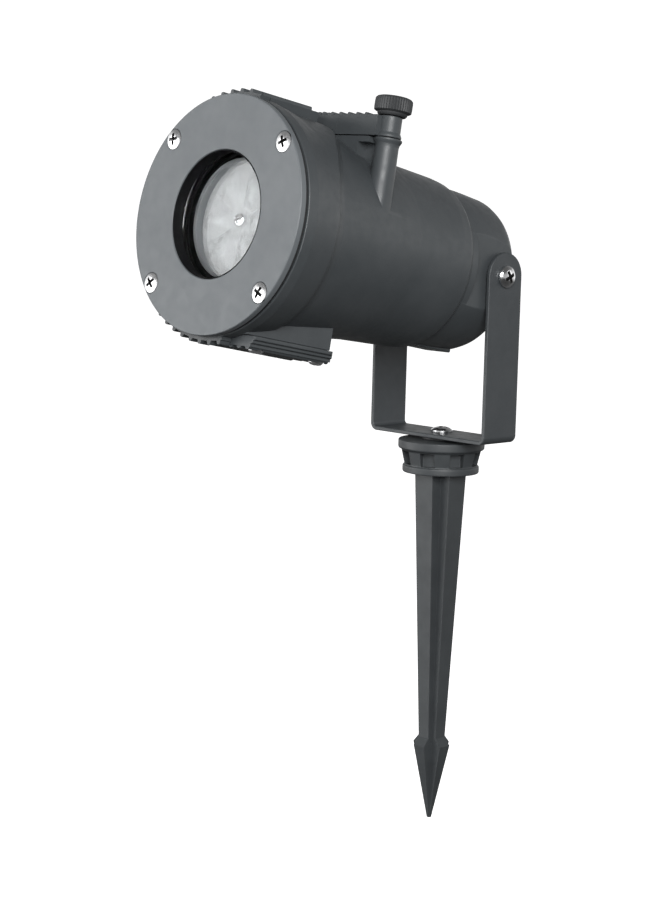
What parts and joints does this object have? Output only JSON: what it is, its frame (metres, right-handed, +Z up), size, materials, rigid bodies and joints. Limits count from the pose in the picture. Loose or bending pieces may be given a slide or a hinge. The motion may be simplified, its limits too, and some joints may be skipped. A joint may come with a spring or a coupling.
{
  "type": "light projector on a ground stake",
  "caption": "Round garden light projector with a hinged ribbed side door, held in a tilting U bracket on a barbed ground stake.",
  "frame": {"origin": "ground line on the stake's axis, at the underside of the collar above the blade", "axes": "+Z up along the stake, -Y the way the lens faces at rest, +X towards the thumb-screw side of the head, along the tilt axis"},
  "size_m": [0.1018, 0.1796, 0.3274],
  "materials": {
    "bezel_metal": "blue-grey fine-textured powder coat",
    "housing_metal": "dark slate fine-textured powder coat",
    "bracket_paint": "dark slate satin paint",
    "stake_plastic": "moulded, fine grain",
    "black_plastic": "moulded black",
    "knob_plastic": "knurled",
    "rubber": "matt",
    "nylon": "smooth",
    "brass": "turned",
    "zinc_steel": "bright zinc",
    "chrome": "bright",
    "glass": "clear",
    "frosted_lens": "pale translucent acrylic",
    "lens_frame": "grey",
    "slide_film": "dark patterned film",
    "led_phosphor": "yellow phosphor",
    "board_white": "white board",
    "board_green": "green board",
    "aluminium": "bare extrusion"
  },
  "bodies": {
    "stake": {"ground_stake": "stake_plastic", "stake_insert": "brass", "swivel_washer": "nylon", "stake_screw": "chrome"},
    "bracket": {"u_bracket": "bracket_paint"},
    "head": {"main_housing": "housing_metal", "post_insert": "brass", "front_bezel": "bezel_metal", "bezel_gasket": "rubber", "bezel_screw_1": "zinc_steel", "bezel_screw_2": "zinc_steel", "bezel_screw_3": "zinc_steel", "bezel_screw_4": "zinc_steel", "window_shroud": "black_plastic", "front_glass": "glass", "glass_seal": "rubber", "hinge_leaf": "housing_metal", "hinge_pin": "zinc_steel", "hinge_screw_1": "zinc_steel", "hinge_screw_2": "zinc_steel", "lens_bearing": "black_plastic", "motor_mount": "black_plastic", "lens_motor": "zinc_steel", "slide_guide": "black_plastic", "pattern_slide": "black_plastic", "pattern_glass": "slide_film", "condenser_lens": "glass", "condenser_holder": "black_plastic", "led_emitter": "led_phosphor", "led_board": "board_white", "heat_sink": "aluminium", "driver_board": "board_green", "transformer": "black_plastic", "capacitor": "knob_plastic", "rear_cap": "housing_metal", "pivot_insert_right": "brass", "pivot_insert_left": "brass", "rear_o_ring": "rubber", "cap_screw_1": "zinc_steel", "cap_screw_2": "zinc_steel", "cable_gland": "black_plastic", "gland_nut": "black_plastic", "gland_lock_nut": "black_plastic", "pivot_washer_right": "nylon", "pivot_screw_right": "chrome", "pivot_washer_left": "nylon", "pivot_screw_left": "chrome"},
    "door": {"side_door": "housing_metal", "door_gasket": "rubber"},
    "thumb_screw": {"thumb_screw": "knob_plastic"},
    "lens_group": {"lens_carrier": "lens_frame", "multi_lens_disc": "frosted_lens", "lens_hub_screw": "zinc_steel"},
    "motor_shaft": {"motor_pinion": "nylon"}
  },
  "joints": [
    {"name": "bracket_swivel", "type": "hinge", "parent": "stake", "child": "bracket", "pos_m": [0, 0, 0.0155], "axis": [0, 0, 1], "continuous": true},
    {"name": "head_tilt", "type": "hinge", "parent": "bracket", "child": "head", "pos_m": [0, 0, 0.09], "axis": [-1, 0, 0], "range_deg": [-38, 78]},
    {"name": "door_open", "type": "hinge", "parent": "head", "child": "door", "pos_m": [-0.001, -0.1074, 0.05974], "axis": [0, -0.9829, 0.184], "range_deg": [0, 100]},
    {"name": "thumb_screw_turn", "type": "hinge", "parent": "door", "child": "thumb_screw", "pos_m": [0.0343, -0.07337, 0.1546], "axis": [0, 0.184, 0.9829], "continuous": true},
    {"name": "lens_spin", "type": "hinge", "parent": "head", "child": "lens_group", "pos_m": [0, -0.11992, 0.11244], "axis": [0, -0.9829, 0.184], "continuous": true},
    {"name": "motor_shaft_spin", "type": "hinge", "parent": "head", "child": "motor_shaft", "pos_m": [0.02355, -0.12228, 0.08893], "axis": [0, -0.9829, 0.184], "continuous": true}
  ],
  "couplings": [
    {"joint": "motor_shaft_spin", "follows": "lens_spin", "ratio": -5}
  ]
}
